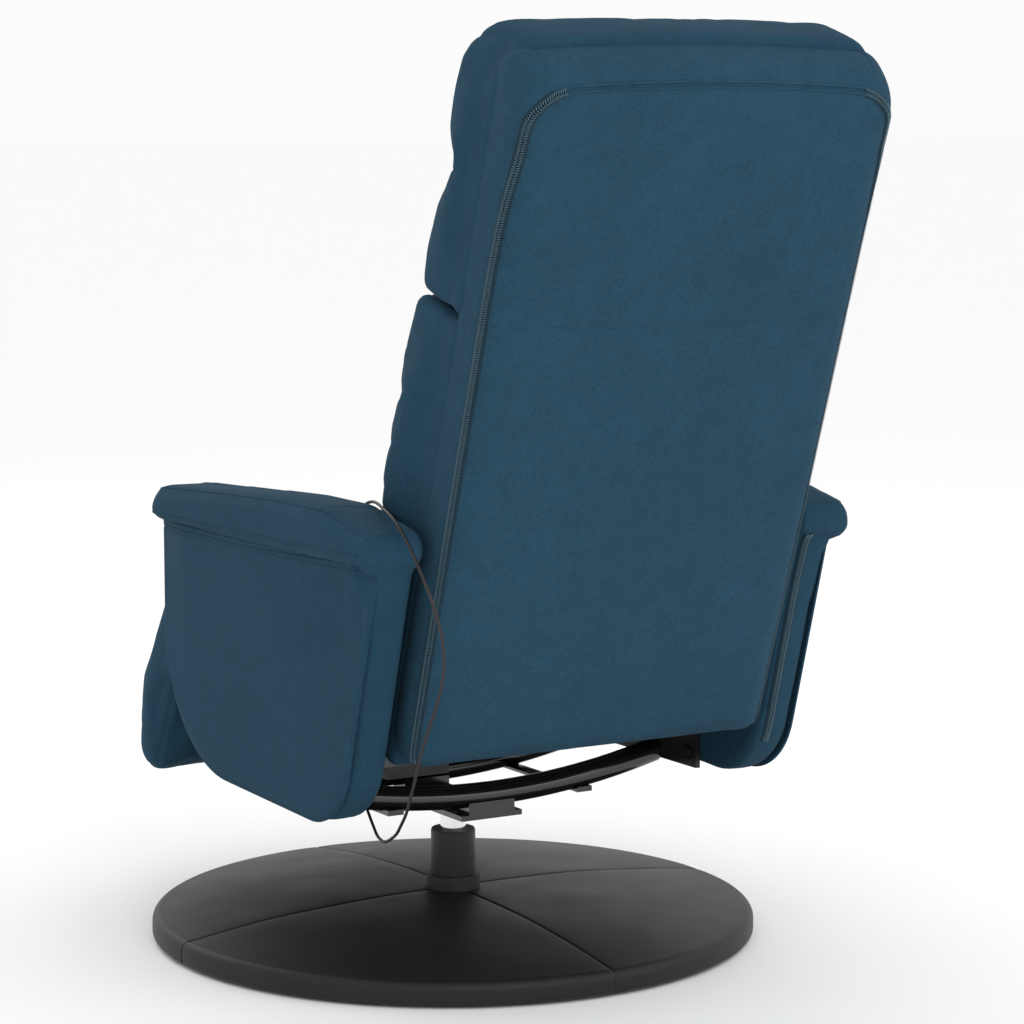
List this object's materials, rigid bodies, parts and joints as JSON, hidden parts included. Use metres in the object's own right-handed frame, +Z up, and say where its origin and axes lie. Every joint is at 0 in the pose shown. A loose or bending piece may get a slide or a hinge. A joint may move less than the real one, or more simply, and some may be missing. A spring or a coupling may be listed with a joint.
{
  "type": "swivel massage recliner chair",
  "caption": "Upholstered swivel recliner on a padded disc foot, with padded arms, side pockets, a reclining back, a footrest that swings up and a wired massage handset.",
  "frame": {"origin": "on the floor, at the foot of the swivel axis, on the underside of the disc foot", "axes": "+Z up along the swivel axis, -Y the way the sitter faces, +X at the sitter's left hand"},
  "size_m": [0.6999, 0.9215, 1.0398],
  "materials": {
    "fabric_panel": "woven, soft matt",
    "fabric_body": "woven, soft matt",
    "base_vinyl": "smooth satin",
    "black_steel": "gloss powder coat",
    "dark_steel": "satin",
    "chrome": "polished",
    "bare_steel": "satin",
    "black_plastic": "moulded, fine grain",
    "grey_plastic": "moulded",
    "red_plastic": "moulded",
    "pale_plastic": "moulded",
    "cord_rubber": "smooth",
    "board": "plain board",
    "foam": "open foam",
    "webbing": "elastic webbing",
    "rubber_sheet": "matt"
  },
  "bodies": {
    "foot": {"floor_disc": "rubber_sheet", "base_board": "board", "base_foam": "foam", "base_cover": "base_vinyl", "pedestal_tube": "black_steel", "pedestal_collar": "black_plastic", "lower_bush": "pale_plastic", "upper_bush": "black_plastic", "thrust_washer": "bare_steel", "base_bolts": "bare_steel"},
    "seat": {"column": "chrome", "top_plate": "black_steel", "front_cross_tube": "black_steel", "rear_cross_tube": "black_steel", "tie_bars": "black_steel", "bracket_left": "dark_steel", "bracket_right": "dark_steel", "bracket_bolts": "bare_steel", "seat_frame": "black_steel", "seat_webbing": "webbing", "seat_motors": "black_plastic", "seat_cushion": "fabric_body", "arm_board_left": "fabric_body", "arm_board_right": "fabric_body", "arm_pad_left": "fabric_body", "arm_pad_right": "fabric_body", "arm_pocket_left": "fabric_body", "arm_pocket_right": "fabric_body", "control_box": "black_plastic", "cord_gland": "cord_rubber", "power_inlet": "black_plastic", "handset_cord": "cord_rubber", "handset_back": "black_plastic", "handset_front": "black_plastic", "handset_lens": "red_plastic", "back_pins": "bare_steel", "footrest_hangers": "black_steel", "footrest_pins": "bare_steel"},
    "back": {"back_lugs": "dark_steel", "lug_bolts": "bare_steel", "back_frame": "black_steel", "back_webbing": "webbing", "back_motors": "black_plastic", "back_shell": "fabric_panel", "back_cushion": "fabric_body", "headrest_cushion": "fabric_body"},
    "footrest": {"footrest_lugs": "dark_steel", "footrest_board": "board", "footrest_pad": "fabric_body"},
    "button_power": {"button_power": "red_plastic"},
    "button_mode": {"button_mode": "grey_plastic"},
    "button_stronger": {"button_stronger": "grey_plastic"},
    "button_weaker": {"button_weaker": "grey_plastic"},
    "button_heat": {"button_heat": "grey_plastic"}
  },
  "joints": [
    {"name": "swivel", "type": "hinge", "parent": "foot", "child": "seat", "pos_m": [0, 0, 0.1], "axis": [0, 0, 1], "continuous": true},
    {"name": "recline", "type": "hinge", "parent": "seat", "child": "back", "pos_m": [0, 0.215, 0.33], "axis": [-1, 0, 0], "range_deg": [0, 30]},
    {"name": "footrest_lift", "type": "hinge", "parent": "seat", "child": "footrest", "pos_m": [0, -0.275, 0.345], "axis": [-1, 0, 0], "range_deg": [0, 65]},
    {"name": "button_power_press", "type": "slide", "parent": "seat", "child": "button_power", "axis": [0, 0, -1], "range_m": [0, 0.001], "stiffness_N_per_m": 600, "springref_m": -0.0005},
    {"name": "button_mode_press", "type": "slide", "parent": "seat", "child": "button_mode", "axis": [0, 0, -1], "range_m": [0, 0.001], "stiffness_N_per_m": 600, "springref_m": -0.0005},
    {"name": "button_stronger_press", "type": "slide", "parent": "seat", "child": "button_stronger", "axis": [0, 0, -1], "range_m": [0, 0.001], "stiffness_N_per_m": 600, "springref_m": -0.0005},
    {"name": "button_weaker_press", "type": "slide", "parent": "seat", "child": "button_weaker", "axis": [0, 0, -1], "range_m": [0, 0.001], "stiffness_N_per_m": 600, "springref_m": -0.0005},
    {"name": "button_heat_press", "type": "slide", "parent": "seat", "child": "button_heat", "axis": [0, 0, -1], "range_m": [0, 0.001], "stiffness_N_per_m": 600, "springref_m": -0.0005}
  ],
  "couplings": [
    {"joint": "footrest_lift", "follows": "recline", "ratio": 2.1666}
  ]
}
